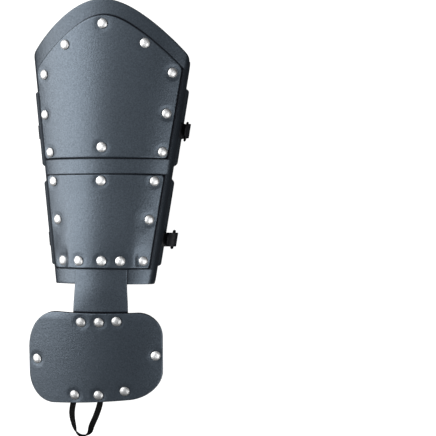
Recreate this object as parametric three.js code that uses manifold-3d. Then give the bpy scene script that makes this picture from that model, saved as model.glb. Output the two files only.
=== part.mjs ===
// Leather bracer for one forearm, with a plate over the back of the hand.
// It lies on its back with the plates up: X runs across the arm, Y from the hand to the elbow, Z up.
import * as THREE from 'three';
import { mergeVertices } from 'three/addons/utils/BufferGeometryUtils.js';
import Module from 'manifold-3d';

const wasm = await Module();
wasm.setup();

// Forearm: sizes at the wrist end and at the elbow end, in millimetres
const FOREARM_LENGTH = 205;
const BASE_START = -1.2;
const HEIGHT = { wrist: 60, elbow: 78 };
const PLATE_HALF_WIDTH = { wrist: 44, elbow: 73.5 };
// The pieces sit a little askew: each lies further toward the elbow on the right
const SKEW = 0.04;

// Half of the arm's section from the crown down to the open back, one row for each bend.
// The flank has no length of its own, because it takes up the height that the others leave.
const SECTION = {
  left: [
    { name: 'crown', wrist: 45.5, elbow: 75, turn: 37 },
    { name: 'shoulder', wrist: 10, elbow: 10, turn: 46 },
    { name: 'side', wrist: 10, elbow: 10, turn: 2 },
    { name: 'flank', turn: 8 },
    { name: 'heel', wrist: 24, elbow: 28, turn: 87 },
  ],
  right: [
    { name: 'crown', wrist: 45.5, elbow: 75, turn: 37 },
    { name: 'shoulder', wrist: 10, elbow: 8.2, turn: 55 },
    { name: 'side', wrist: 10, elbow: 10, turn: 4 },
    { name: 'flank', turn: 12 },
    { name: 'heel', wrist: 20, elbow: 25, turn: 72 },
  ],
};
const FLANK = 3;
const HEEL = 4;
const BACK = 5;

// Leather and the gap between two layers
const GAP = 0.3;
const BASE_THICK = 2.6;
const PLATE_THICK = 2.6;
const TONGUE_THICK = 2.4;
const WING_THICK = 2.2;
const HAND_THICK = 3;
const STRAP_THICK = 1.6;
const WEBBING_THICK = 1.4;

// Arched ends: the height of the apex, the slope of the sides and the roundness of the top
const BASE_ARCH = { apex: 257.4, middle: -3, slope: 0.995, round: 45 };
const PLATE_ARCH = { apex: 242.6, middle: -0.5, slope: 0.9, round: 28 };
const BASE_SIDE_TOP = 204;
const UPPER_PLATE_START = 114.3;
const LOWER_PLATE = { start: 13.4, end: 99.4 };
const BASE_CORNER = 5;
const PLATE_CORNER = { reach: 3, half_width: 60 };
// A column's length across depends on where it meets the arch, so its end is found in rounds
const ARCH_ROUNDS = 12;

// Wings: the flaps that carry the forearm round to the open back
const WING_ROOT = 20;
const WING_FLARE = { left: 9.5, right: 5 };
const WING_FLARE_LENGTH = 8;
const WING_ONTO_BACK = 8;
const WING_CORNER = 8;
const WING_CUT_PART = 0.25;
const FLARE_STOPS = [1.5, 4, 6.5, 8, 11, 14];
const HEEL_STEPS = 6;
const WINGS = [
  { name: 'upper_wing', root: [109, 181.5], edge: [106, 182.5], cut: 6, end: [116, 152] },
  { name: 'lower_wing', root: [13, 87], edge: [13.5, 100.5], cut: 3, end: [21, 56] },
];

// Straps that bridge the open back, and their buckles on the right side
const STRAPS = [
  { name: 'upper', at: 141.5, tip: 0, slack: 0 },
  { name: 'lower', at: 40, tip: -2, slack: 4.5 },
];
const STRAP_WIDTH = 13;
const SLACK_FADE = { start: 24, end: 36 };
const STRAP_TIP = { length: 7, inset: STRAP_WIDTH / 3 };
const BUCKLE = {
  at: 17,
  length: 17,
  width: 18.4,
  bar: 2.4,
  thick: 2,
  corner: 3,
  eye_corner: 1,
  eye_extra: 0.6,
  strap_height: 3.5,
};
// The strap climbs over the heel bar and falls onto the buckle strap: distances along the strap
const CLIMB = { start: 6, step: 1.5, low: 3.2, high: 3, bar_edge: 0.5, over_bar: 0.4 };
const FALL = { start: 1, stop: 3, length: 6 };
const PRONG = { radius: 0.8, clearance: 0.45, rise: 0.4, dip: 0.5, short: 0.2 };
const STRAP_HOLE = { radius: 1.2, sides: 8 };
const STRAP_HOLES = [30, 40, 50];

// Rivets: a domed cap, a post through the layers and a low back cap
const CAP = { radius: 4.5, rim: 0.7, height: 2.2, shoulder: [0.66, 0.82] };
const BACK_CAP = { radius: 3.8, height: 1 };
const POST_RADIUS = 1.5;
const HOLE = { radius: 2.1, length: 30, sides: 6 };
const RIVET_SIDES = 8;
const FOREARM_RIVETS = [
  { name: 'upper_rivet_a', from_wrist: 234.8, across: [-0.5] },
  { name: 'upper_rivet_b', from_wrist: 217.4, across: [-37, 37.5] },
  { name: 'upper_rivet_c', from_wrist: 191.8, across: [-61.5, 63] },
  { name: 'upper_rivet_d', from_wrist: 155, across: [-60.5, 58.5] },
  { name: 'upper_rivet_e', from_wrist: 120.2, across: [-53.3, 55.8] },
  { name: 'upper_rivet_f', from_wrist: 123.9, across: [1] },
  { name: 'lower_rivet_a', from_wrist: 93.5, across: [-49, 1, 49] },
  { name: 'lower_rivet_b', from_wrist: 58.3, across: [-43, 45] },
  { name: 'lower_rivet_c', from_wrist: 20.4, across: [-36, -17.3, 3.6, 19.7, 40.3] },
];
const HAND_RIVETS = [
  { name: 'hand_rivet_top_1', down: 0.1, across: -15, under: 'tongue' },
  { name: 'hand_rivet_top_2', down: 0.098, across: 1.8, under: 'tongue' },
  { name: 'hand_rivet_top_3', down: 0.087, across: 17.8, under: 'tongue' },
  { name: 'hand_rivet_side_left', down: 0.526, across: -60.5, under: 'webbing' },
  { name: 'hand_rivet_side_right', down: 0.506, across: 52.5, under: 'webbing' },
  { name: 'hand_rivet_low_1', down: 0.908, across: -22.1, under: 'webbing' },
  { name: 'hand_rivet_low_2', down: 0.919, across: 0.6, under: 'webbing' },
  { name: 'hand_rivet_low_3', down: 0.89, across: 24.6, under: 'nothing' },
];

// Tongue and hand plate, measured down from the wrist end of the base
const TONGUE = { middle: 1.9, half_width: 24.4, half_width_low: 25.7, under_plate: 28, end: 44 };
const TONGUE_LIFT = { across: [28.5, 34], along: [35, 60] };
const HAND_SLOPE = { start: 5, end: 12, bend: 15 };
const HAND_ROUND = { radius: 185, reached: 35 };
const HAND_PLATE = { middle: -5.4, half_width: 64.4, top: 27.3, bottom: 112.8, bottom_slant: -0.075 };
const HAND_CORNERS = {
  top_left: { across: 31, down: 36 },
  top_right: { across: 23, down: 25 },
  bottom_left: { across: 27, down: 28 },
  bottom_right: { across: 30, down: 26 },
};
// The hand plate's inner face lies on the tongue
const HAND_INNER = GAP + TONGUE_THICK + GAP;

// Elastic bands of the hand plate
const LOOP_WIDTH = 5.6;
const LOOP_ROUTE = [
  { down: 100, across: -20, twist: 0 },
  { down: 112, across: -24.3, twist: 0 },
  { down: 126, across: -26.8, twist: 0 },
  { down: 138, across: -25, twist: 25 },
  { down: 145, across: -22.2, twist: 65 },
  { down: 148, across: -16.2, twist: 90 },
  { down: 144.6, across: -9.9, twist: 65 },
  { down: 137, across: -7.3, twist: 25 },
  { down: 126, across: -2.6, twist: 0 },
  { down: 114, across: 1, twist: 0 },
  { down: 99, across: 1.8, twist: 0 },
];
const PALM_STRAP = { down: 0.52, width: 20, sag: 12, sag_part: 0.3, flat_part: 0.1, past_rivet: 6 };

// Colours and finish
const LEATHER = { color: 0x3d434b, roughness: 0.45, metalness: 0 };
const WEBBING = { color: 0x0c0c0d, roughness: 0.9, metalness: 0 };
const BLACK_METAL = { color: 0x0a0a0b, roughness: 0.4, metalness: 0.6 };
const NICKEL = { color: 0xd6d6d8, roughness: 0.2, metalness: 1 };

const mix = (start, end, part) => start + (end - start) * part;
const radians = (degrees) => (degrees * Math.PI) / 180;
const fromWrist = (sizes, v) => mix(sizes.wrist, sizes.elbow, v / FOREARM_LENGTH);

function smooth(part) {
  const p = Math.min(Math.max(part, 0), 1);
  return p * p * (3 - 2 * p);
}

function evenly(start, end, steps) {
  return Array.from({ length: steps + 1 }, (_, i) => mix(start, end, i / steps));
}

// How far a rounded corner draws an edge in, at a distance from the corner's end
function cornerInset(distance, reach, inset) {
  if (distance >= reach) {
    return 0;
  }
  const rest = 1 - distance / reach;
  return inset * (1 - Math.sqrt(Math.max(1 - rest * rest, 0)));
}

function drop(length, angle, turn) {
  return turn === 0 ? length * Math.sin(angle) : (length * (Math.cos(angle) - Math.cos(angle + turn))) / turn;
}

function advance(length, angle, turn) {
  return turn === 0 ? length * Math.cos(angle) : (length * (Math.sin(angle + turn) - Math.sin(angle))) / turn;
}

// The arcs of one half section at a distance from the wrist end, the flat back last
function sectionArcs(side, v) {
  let angle = 0;
  const arcs = SECTION[side].map((row) => {
    const arc = { length: row.wrist === undefined ? 0 : fromWrist(row, v), turn: radians(row.turn), angle };
    angle += arc.turn;
    return arc;
  });
  const height = fromWrist(HEIGHT, v);
  const taken = arcs.reduce((sum, arc) => sum + drop(arc.length, arc.angle, arc.turn), 0);
  const flank = arcs[FLANK];
  flank.length = (height - taken) / drop(1, flank.angle, flank.turn);
  const reach = arcs.reduce((sum, arc) => sum + advance(arc.length, arc.angle, arc.turn), 0);
  arcs.push({ length: reach, turn: 0, angle });
  return arcs;
}

// A point of the forearm: station counts the arcs passed from the crown, 6 is the middle of the back
function armPoint(side, station, v, offset) {
  const arcs = sectionArcs(side, v);
  const last = Math.min(Math.floor(station), arcs.length - 1);
  let x = 0;
  let z = fromWrist(HEIGHT, v);
  for (let i = 0; i < last; i += 1) {
    x += advance(arcs[i].length, arcs[i].angle, arcs[i].turn);
    z -= drop(arcs[i].length, arcs[i].angle, arcs[i].turn);
  }
  const part = station - last;
  const arc = arcs[last];
  const turn = arc.turn * part;
  x += advance(arc.length * part, arc.angle, turn);
  z -= drop(arc.length * part, arc.angle, turn);
  const normal = arc.angle + turn;
  x += offset * Math.sin(normal);
  z += offset * Math.cos(normal);
  const across = side === 'left' ? -x : x;
  return new THREE.Vector3(across, v + SKEW * across, z);
}

// The station that lies a length along the section from the crown
function stationAt(side, v, length) {
  const arcs = sectionArcs(side, v);
  let rest = length;
  for (let i = 0; i < arcs.length; i += 1) {
    if (rest <= arcs[i].length) {
      return i + rest / arcs[i].length;
    }
    rest -= arcs[i].length;
  }
  return arcs.length;
}

// The station that lies a distance past the base's edge, toward the back
function stationPastEdge(side, v, distance) {
  const arcs = sectionArcs(side, v);
  const edge = arcs[0].length + arcs[1].length + arcs[2].length;
  return stationAt(side, v, edge + distance);
}

// A point of the forearm by its signed length across from the crown
function acrossPoint(across, v, offset) {
  const side = across < 0 ? 'left' : 'right';
  return armPoint(side, stationAt(side, v, Math.abs(across)), v, offset);
}

function arch(size, across) {
  return size.apex - size.slope * (Math.hypot(across - size.middle, size.round) - size.round);
}

// A sheet of leather as a grid of columns and rows, with its inner face at 0 and its outer face at 1
function sheet(columns, rows, place) {
  const geometry = new THREE.BoxGeometry(1, 1, 1, columns, rows, 1);
  const position = geometry.attributes.position;
  for (let i = 0; i < position.count; i += 1) {
    const column = Math.round((position.getX(i) + 0.5) * columns);
    const row = (position.getY(i) + 0.5) * rows;
    const point = place(column, Math.round(row), position.getZ(i) > 0 ? 1 : 0);
    position.setXYZ(i, point.x, point.y, point.z);
  }
  return merged(geometry);
}

function merged(geometry) {
  const bare = geometry.clone();
  bare.deleteAttribute('normal');
  bare.deleteAttribute('uv');
  return mergeVertices(bare, 1e-4);
}

function solid(geometry) {
  const closed = merged(geometry);
  const vertProperties = new Float32Array(closed.attributes.position.array);
  const triVerts = new Uint32Array(closed.index.array);
  return new wasm.Manifold(new wasm.Mesh({ numProp: 3, vertProperties, triVerts }));
}

function cut(geometry, cutters) {
  let body = solid(geometry);
  for (const cutter of cutters) {
    body = body.subtract(solid(cutter));
  }
  const mesh = body.getMesh();
  const result = new THREE.BufferGeometry();
  result.setAttribute('position', new THREE.BufferAttribute(new Float32Array(mesh.vertProperties), 3));
  result.setIndex(new THREE.BufferAttribute(new Uint32Array(mesh.triVerts), 1));
  return result;
}

// The frame of a surface at a place: X across, Y toward the elbow, Z out of the leather
function frameAt(place) {
  const step = 0.5;
  const across = place(step, 0).sub(place(-step, 0)).normalize();
  const along = place(0, step).sub(place(0, -step)).normalize();
  const out = new THREE.Vector3().crossVectors(across, along).normalize();
  const up = new THREE.Vector3().crossVectors(out, across);
  return new THREE.Matrix4().makeBasis(across, up, out).setPosition(place(0, 0));
}

// Forearm pieces
function baseShell() {
  const half = [0, 0.14, 0.28, 0.42, 0.56, 0.7, 0.84, 1, 1.33, 1.67, 2, 2.6, 3];
  const stations = [...half.slice(1).reverse().map((s) => -s), ...half];
  const rows = evenly(0, 1, 3);
  return sheet(stations.length - 1, rows.length - 1, (column, row, face) => {
    const station = Math.abs(stations[column]);
    const side = stations[column] < 0 ? 'left' : 'right';
    let top = BASE_SIDE_TOP;
    for (let i = 0; i < ARCH_ROUNDS; i += 1) {
      const across = Math.sign(stations[column]) * lengthTo(side, top, station);
      top = Math.max(arch(BASE_ARCH, across), BASE_SIDE_TOP);
    }
    const fromEdge = (FLANK - station) * SECTION[side][FLANK - 1].wrist;
    const corner = cornerInset(fromEdge, BASE_CORNER, BASE_CORNER);
    const v = mix(BASE_START + corner, top - corner, rows[row]);
    return armPoint(side, station, v, (face - 1) * BASE_THICK);
  });
}

function lengthTo(side, v, station) {
  const arcs = sectionArcs(side, v);
  const last = Math.floor(station);
  const passed = arcs.slice(0, last).reduce((sum, arc) => sum + arc.length, 0);
  return passed + (last < arcs.length ? arcs[last].length * (station - last) : 0);
}

// A plate on the base: lift says how far it stands off the base at a place
function plate(start, endAt, half, rows, lift) {
  const columns = [...half.slice(1).reverse().map((s) => -s), ...half];
  return sheet(columns.length - 1, rows, (column, row, face) => {
    const part = columns[column];
    let end = FOREARM_LENGTH;
    for (let i = 0; i < ARCH_ROUNDS; i += 1) {
      end = endAt(part * fromWrist(PLATE_HALF_WIDTH, end));
    }
    const fromEdge = (1 - Math.abs(part)) * PLATE_CORNER.half_width;
    const corner = cornerInset(fromEdge, PLATE_CORNER.reach, PLATE_CORNER.reach);
    const v = mix(start + corner, end - corner, row / rows);
    const across = part * fromWrist(PLATE_HALF_WIDTH, v);
    return acrossPoint(across, v, GAP + lift(across, v) + face * PLATE_THICK);
  });
}

function upperPlate() {
  const half = [0, 0.12, 0.24, 0.36, 0.5, 0.64, 0.78, 0.9, 0.97, 1];
  return plate(UPPER_PLATE_START, (across) => arch(PLATE_ARCH, across), half, 3, () => 0);
}

// The lower plate bulges over the tongue's end
function tongueLift(across, v) {
  const [fullAcross, noneAcross] = TONGUE_LIFT.across;
  const [fullAlong, noneAlong] = TONGUE_LIFT.along;
  const sideways = 1 - smooth((Math.abs(across - TONGUE.middle) - fullAcross) / (noneAcross - fullAcross));
  const lengthways = 1 - smooth((v - fullAlong) / (noneAlong - fullAlong));
  return (TONGUE_THICK + GAP) * sideways * lengthways;
}

function lowerPlate() {
  const half = [0, 0.2, 0.38, 0.56, 0.66, 0.76, 0.88, 0.97, 1];
  return plate(LOWER_PLATE.start, () => LOWER_PLATE.end, half, 7, tongueLift);
}

// How far a wing springs out where it leaves the base's edge, both sides level again at the back
function wingOuter(side, v, station) {
  const distance = lengthTo(side, v, station) - lengthTo(side, v, FLANK);
  const flare = mix(WING_FLARE[side], WING_FLARE.right, smooth(station - HEEL));
  return flare * smooth(distance / WING_FLARE_LENGTH) - BASE_THICK - GAP;
}

function wing(size, side) {
  const middle = (size.edge[0] + size.edge[1]) / 2;
  const arcs = sectionArcs(side, middle);
  const root = WING_ROOT + arcs[1].length + arcs[2].length;
  const reach = arcs[FLANK].length + arcs[HEEL].length + WING_ONTO_BACK;
  const ontoBack = WING_ONTO_BACK / arcs[BACK].length;
  const columns = [
    ...evenly(-root, 0, 4).map((distance) => ({ distance })),
    ...FLARE_STOPS.map((distance) => ({ distance })),
    ...evenly(HEEL, BACK, HEEL_STEPS).map((station) => ({ station })),
    ...[0.5, 0.8, 1].map((part) => ({ station: BACK + ontoBack * part })),
  ];
  const rows = 2;
  const place = (column, row, face) => {
    const stop = columns[column];
    const distance = stop.distance ?? lengthTo(side, middle, stop.station) - lengthTo(side, middle, FLANK);
    const out = Math.max(distance / reach, 0);
    const inward = Math.max(-distance / root, 0);
    const corner = cornerInset(reach - distance, WING_CORNER, WING_CORNER);
    const cutCorner = size.cut * smooth(out / WING_CUT_PART);
    const low = mix(mix(size.edge[0], size.root[0], inward) + cutCorner, size.end[0], out) + corner;
    const high = mix(mix(size.edge[1], size.root[1], inward), size.end[1], out) - corner;
    const v = mix(low, high, row / rows);
    const station = stop.station ?? stationPastEdge(side, v, distance);
    return armPoint(side, station, v, wingOuter(side, v, station) + (face - 1) * WING_THICK);
  };
  const mirrored = (column, row, face) => place(columns.length - 1 - column, row, face);
  return sheet(columns.length - 1, rows, side === 'right' ? place : mirrored);
}

// How far the slack of a strap lifts it off the right wing
function slackAt(strap, distance) {
  const kept = 1 - smooth((distance - SLACK_FADE.start) / (SLACK_FADE.end - SLACK_FADE.start));
  return strap.slack * kept * smooth(distance / WING_FLARE_LENGTH);
}

// Straps: stops run from the left flank over the back to the tip on the right flank
function billetStrap(strap) {
  const v = strap.at;
  const onWing = wingOuter('right', v, HEEL) + GAP;
  const overBar = onWing + STRAP_THICK + 2 * GAP + BUCKLE.thick + CLIMB.over_bar;
  const overStrap = onWing + STRAP_THICK + GAP;
  const heelBar = BUCKLE.at - BUCKLE.length / 2;
  const riseStart = BUCKLE.at + CLIMB.start;
  const edge = lengthTo('right', v, FLANK);
  const stops = [
    ...FLARE_STOPS.slice(-2).map((distance) => stationPastEdge('left', v, distance)),
    ...evenly(HEEL, BACK, HEEL_STEPS),
  ].map((station) => ({ side: 'left', station, offset: wingOuter('left', v, station) + GAP }));
  stops.push(...evenly(BACK, HEEL, HEEL_STEPS).map((station) => {
    const distance = lengthTo('right', v, station) - edge;
    return { side: 'right', station, distance, offset: onWing + slackAt(strap, distance) };
  }).filter((stop) => stop.distance > riseStart));
  const climbing = evenly(riseStart - CLIMB.step, heelBar + CLIMB.low, 4);
  for (const distance of [riseStart, ...climbing, heelBar - CLIMB.bar_edge]) {
    const rise = smooth((riseStart - distance) / (riseStart - heelBar - CLIMB.high));
    const offset = mix(onWing, overBar, rise) + slackAt(strap, distance);
    stops.push({ side: 'right', station: stationPastEdge('right', v, distance), offset });
  }
  for (const distance of evenly(heelBar - FALL.stop, strap.tip, 3)) {
    const fall = smooth((heelBar - FALL.start - distance) / FALL.length);
    const offset = mix(overBar, overStrap, fall) + slackAt(strap, distance);
    stops.push({ side: 'right', station: stationPastEdge('right', v, distance), offset });
  }
  const columns = stops.length - 1;
  const geometry = sheet(columns, 2, (column, row, face) => {
    const stop = stops[columns - column];
    const end = stops[columns];
    const gone = lengthTo('right', v, stop.station) - lengthTo('right', v, end.station);
    const inset = stop.side === 'right' ? cornerInset(gone, STRAP_TIP.length, STRAP_TIP.inset) : 0;
    const at = v + mix(-1, 1, row / 2) * (STRAP_WIDTH / 2 - inset);
    return armPoint(stop.side, stop.station, at, stop.offset + face * STRAP_THICK);
  });
  const holes = STRAP_HOLES.map((past) => strapHole(strap, past, onWing));
  return cut(geometry, [...holes, prong(strap, PRONG.radius + PRONG.clearance)]);
}

function strapHole(strap, past, offset) {
  const frame = frameAt((x, y) => {
    return armPoint('right', stationPastEdge('right', strap.at + y, past + x), strap.at + y, offset);
  });
  const { radius, sides } = STRAP_HOLE;
  const hole = new THREE.CylinderGeometry(radius, radius, STRAP_THICK * 4, sides);
  return hole.rotateX(Math.PI / 2).applyMatrix4(frame);
}

// The buckle's own frame: X toward the back, Y toward the elbow, Z off the wing.
// It is centred on the strap at the height where the strap passes through.
function buckleFrame(strap) {
  const frame = frameAt((x, y) => {
    const v = strap.at + y;
    const offset = wingOuter('right', v, HEEL) + strap.slack + BUCKLE.strap_height;
    return armPoint('right', stationPastEdge('right', v, BUCKLE.at + x), v, offset);
  });
  return frame.multiply(new THREE.Matrix4().makeTranslation(0, 0, -BUCKLE.strap_height));
}

function buckleStrap(strap) {
  const stops = FLARE_STOPS;
  return sheet(stops.length - 1, 2, (column, row, face) => {
    const distance = stops[column];
    const v = strap.at + mix(-0.5, 0.5, row / 2) * STRAP_WIDTH;
    const station = stationPastEdge('right', v, distance);
    const offset = wingOuter('right', v, station) + slackAt(strap, distance) + GAP + face * STRAP_THICK;
    return armPoint('right', station, v, offset);
  });
}

function rectangle(length, width, corner) {
  const shape = new THREE.Shape();
  const [x, y] = [length / 2, width / 2];
  shape.moveTo(-x + corner, -y);
  shape.lineTo(x - corner, -y);
  shape.absarc(x - corner, -y + corner, corner, -Math.PI / 2, 0);
  shape.lineTo(x, y - corner);
  shape.absarc(x - corner, y - corner, corner, 0, Math.PI / 2);
  shape.lineTo(-x + corner, y);
  shape.absarc(-x + corner, y - corner, corner, Math.PI / 2, Math.PI);
  shape.lineTo(-x, -y + corner);
  shape.absarc(-x + corner, -y + corner, corner, Math.PI, 1.5 * Math.PI);
  return shape;
}

function buckle(strap) {
  const eyeLength = BUCKLE.length - 2 * BUCKLE.bar;
  const eyeWidth = BUCKLE.width - 2 * BUCKLE.bar + BUCKLE.eye_extra;
  const outline = rectangle(BUCKLE.length, BUCKLE.width, BUCKLE.corner);
  outline.holes.push(rectangle(eyeLength, eyeWidth, BUCKLE.eye_corner));
  const options = { depth: BUCKLE.thick, bevelEnabled: false, curveSegments: 3 };
  const geometry = new THREE.ExtrudeGeometry(outline, options);
  const standoff = STRAP_THICK + 2 * GAP;
  return geometry.translate(0, 0, standoff).applyMatrix4(buckleFrame(strap));
}

// The prong leaves the heel bar, passes up through the strap and rests on the front bar
function prong(strap, radius) {
  const height = STRAP_THICK + 2 * GAP + BUCKLE.thick / 2;
  const inside = BUCKLE.length / 2 - BUCKLE.bar;
  const rest = STRAP_THICK + 3 * GAP + BUCKLE.thick + PRONG.radius;
  const route = new THREE.CatmullRomCurve3([
    new THREE.Vector3(-inside + GAP + PRONG.radius, 0, height),
    new THREE.Vector3(-inside / 2, 0, height + PRONG.rise),
    new THREE.Vector3(inside / 2, 0, rest - PRONG.dip),
    new THREE.Vector3(inside + BUCKLE.bar - PRONG.short, 0, rest),
  ]);
  const section = new THREE.Shape();
  section.absarc(0, 0, radius, 0, 2 * Math.PI);
  const options = { steps: 5, bevelEnabled: false, extrudePath: route, curveSegments: 6 };
  return new THREE.ExtrudeGeometry(section, options).applyMatrix4(buckleFrame(strap));
}

// Tongue and hand plate: down counts from the base's wrist end, across from the arm's middle
function handMiddle(down) {
  const steps = 24;
  let y = 0;
  let z = HEIGHT.wrist;
  for (let i = 0; i < steps; i += 1) {
    const slope = handSlope(((i + 0.5) * down) / steps);
    y -= (Math.cos(slope) * down) / steps;
    z -= (Math.sin(slope) * down) / steps;
  }
  return { y, z };
}

function handSlope(down) {
  const part = Math.min(Math.max(down / HAND_SLOPE.bend, 0), 1);
  return radians(mix(HAND_SLOPE.start, HAND_SLOPE.end, part));
}

function handPoint(down, across, offset) {
  if (down <= 0) {
    return acrossPoint(across, -down, offset);
  }
  const crown = SECTION.right[0];
  const curved = radians(crown.turn) / crown.wrist;
  const radius = 1 / mix(curved, 1 / HAND_ROUND.radius, smooth(down / HAND_ROUND.reached));
  const angle = across / radius;
  const rise = offset * Math.cos(angle) - radius * (1 - Math.cos(angle));
  const middle = handMiddle(down);
  const slope = handSlope(down);
  const x = (radius + offset) * Math.sin(angle);
  const y = middle.y + SKEW * x - rise * Math.sin(slope);
  return new THREE.Vector3(x, y, middle.z + rise * Math.cos(slope));
}

function wristTongue() {
  const stops = [-TONGUE.under_plate, -14, 0, 4, 8, 12, 17, 23, 30, 37, TONGUE.end];
  const columns = 8;
  return sheet(columns, stops.length - 1, (column, row, face) => {
    const down = stops[stops.length - 1 - row];
    const half = mix(TONGUE.half_width, TONGUE.half_width_low, smooth(down / HAND_PLATE.top));
    const across = TONGUE.middle + mix(-1, 1, column / columns) * half;
    return handPoint(down, across, GAP + face * TONGUE_THICK);
  });
}

// The hand plate is a rounded rectangle with a slanted lower edge
function handPlateDown(part, across) {
  return mix(HAND_PLATE.top, HAND_PLATE.bottom + HAND_PLATE.bottom_slant * across, part);
}

function handPlate() {
  const length = HAND_PLATE.bottom - HAND_PLATE.top;
  const corner = [0, 0.6, 2.6, 6.5, 13, 23];
  const stops = [...corner, 40, ...corner.map((d) => length - d * 1.2).reverse()];
  const columns = 9;
  return sheet(columns, stops.length - 1, (column, row, face) => {
    const down = stops[stops.length - 1 - row];
    const up = length - down;
    const { top_left, top_right, bottom_left, bottom_right } = HAND_CORNERS;
    const left = cornerInset(down, top_left.down, top_left.across)
      + cornerInset(up, bottom_left.down, bottom_left.across);
    const right = cornerInset(down, top_right.down, top_right.across)
      + cornerInset(up, bottom_right.down, bottom_right.across);
    const start = HAND_PLATE.middle - HAND_PLATE.half_width + left;
    const end = HAND_PLATE.middle + HAND_PLATE.half_width - right;
    const across = mix(start, end, column / columns);
    return handPoint(handPlateDown(down / length, across), across, HAND_INNER + face * HAND_THICK);
  });
}

// Elastic finger loop: a flat band that turns edge-on at its far end
function fingerLoop() {
  const inner = HAND_INNER - GAP - WEBBING_THICK;
  const middles = LOOP_ROUTE.map((stop) => handPoint(stop.down, stop.across, inner + WEBBING_THICK / 2));
  const outward = LOOP_ROUTE.map(({ down, across }) => {
    return handPoint(down, across, 1).sub(handPoint(down, across, 0));
  });
  const curve = new THREE.CatmullRomCurve3(middles, false, 'centripetal');
  const columns = 22;
  return sheet(columns, 1, (column, row, face) => {
    const part = column / columns;
    const point = curve.getPoint(part);
    const tangent = curve.getTangent(part);
    const place = part * (LOOP_ROUTE.length - 1);
    const index = Math.min(Math.floor(place), LOOP_ROUTE.length - 2);
    const turn = mix(LOOP_ROUTE[index].twist, LOOP_ROUTE[index + 1].twist, place - index);
    const out = outward[index].clone().lerp(outward[index + 1], place - index);
    const flat = new THREE.Vector3().crossVectors(out, tangent).normalize();
    const side = flat.clone().applyAxisAngle(tangent, radians(turn));
    const normal = new THREE.Vector3().crossVectors(tangent, side);
    return point
      .addScaledVector(side, (row - 0.5) * LOOP_WIDTH)
      .addScaledVector(normal, (face - 0.5) * WEBBING_THICK);
  });
}

function palmStrap() {
  const [left, right] = HAND_RIVETS.filter((rivet) => rivet.name.includes('side'));
  const start = left.across - PALM_STRAP.past_rivet;
  const end = right.across + PALM_STRAP.past_rivet;
  const stops = [0, 0.06, 0.11, 0.18, 0.28, 0.39, 0.5, 0.61, 0.72, 0.82, 0.89, 0.94, 1];
  return sheet(stops.length - 1, 1, (column, row, face) => {
    const part = stops[column];
    const across = mix(start, end, part);
    const down = handPlateDown(PALM_STRAP.down, across) - mix(-0.5, 0.5, row) * PALM_STRAP.width;
    const fromFlat = Math.min(part - PALM_STRAP.flat_part, 1 - PALM_STRAP.flat_part - part);
    const away = smooth(fromFlat / PALM_STRAP.sag_part) * PALM_STRAP.sag;
    return handPoint(down, across, HAND_INNER - GAP - away + (face - 1) * WEBBING_THICK);
  });
}

// Rivets: each gets the frame of the outer face, and the depth of the layers that it holds
function rivetShape(depth) {
  const back = -depth - GAP;
  const [shoulderRadius, shoulderHeight] = CAP.shoulder;
  const profile = [
    [0, back - BACK_CAP.height],
    [BACK_CAP.radius, back],
    [POST_RADIUS, back],
    [POST_RADIUS, GAP],
    [CAP.radius, GAP],
    [CAP.radius, GAP + CAP.rim],
    [CAP.radius * shoulderRadius, GAP + CAP.height * shoulderHeight],
    [0, GAP + CAP.height],
  ].map(([radius, height]) => new THREE.Vector2(radius, height));
  return new THREE.LatheGeometry(profile, RIVET_SIDES).rotateX(Math.PI / 2);
}

function rivetHole(rivet) {
  const hole = new THREE.CylinderGeometry(HOLE.radius, HOLE.radius, HOLE.length, HOLE.sides);
  return hole.rotateX(Math.PI / 2).applyMatrix4(rivet.frame);
}

function wingUnder(across, v) {
  const crown = sectionArcs('right', v)[0].length;
  const row = WINGS.find((size) => v > size.root[0] && v < size.root[1]);
  return row !== undefined && Math.abs(across) > crown - WING_ROOT;
}

function forearmRivets() {
  return FOREARM_RIVETS.flatMap((row) => row.across.map((across, index) => {
    const v = row.from_wrist;
    const lift = row.name.startsWith('lower') ? tongueLift(across, v) : 0;
    const outer = GAP + lift + PLATE_THICK;
    const inner = wingUnder(across, v) ? -BASE_THICK - GAP - WING_THICK : -BASE_THICK;
    const frame = frameAt((x, y) => acrossPoint(across + x, v + y, outer));
    return { name: `${row.name}_${index + 1}`, frame, depth: outer - inner };
  }));
}

function handRivets() {
  const layers = { tongue: GAP + TONGUE_THICK, webbing: GAP + WEBBING_THICK, nothing: 0 };
  return HAND_RIVETS.map(({ name, down, across, under }) => {
    const outer = HAND_INNER + HAND_THICK;
    const at = handPlateDown(down, across);
    const frame = frameAt((x, y) => handPoint(at - y, across + x, outer));
    return { name, frame, depth: HAND_THICK + layers[under] };
  });
}

// Assembly
const bracer = new THREE.Group();

function add(name, geometry, finish) {
  const mesh = new THREE.Mesh(geometry, new THREE.MeshStandardMaterial(finish));
  mesh.name = name;
  mesh.geometry.computeVertexNormals();
  bracer.add(mesh);
}

const armRivets = forearmRivets();
const plateRivets = handRivets();
const armHoles = armRivets.map(rivetHole);
const upperCount = armRivets.filter((rivet) => rivet.name.startsWith('upper')).length;
const handHoles = plateRivets.map(rivetHole);
const tongueHoles = [...armRivets, ...plateRivets]
  .filter((rivet) => /lower_rivet_c_[234]|hand_rivet_top/.test(rivet.name))
  .map(rivetHole);

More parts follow.
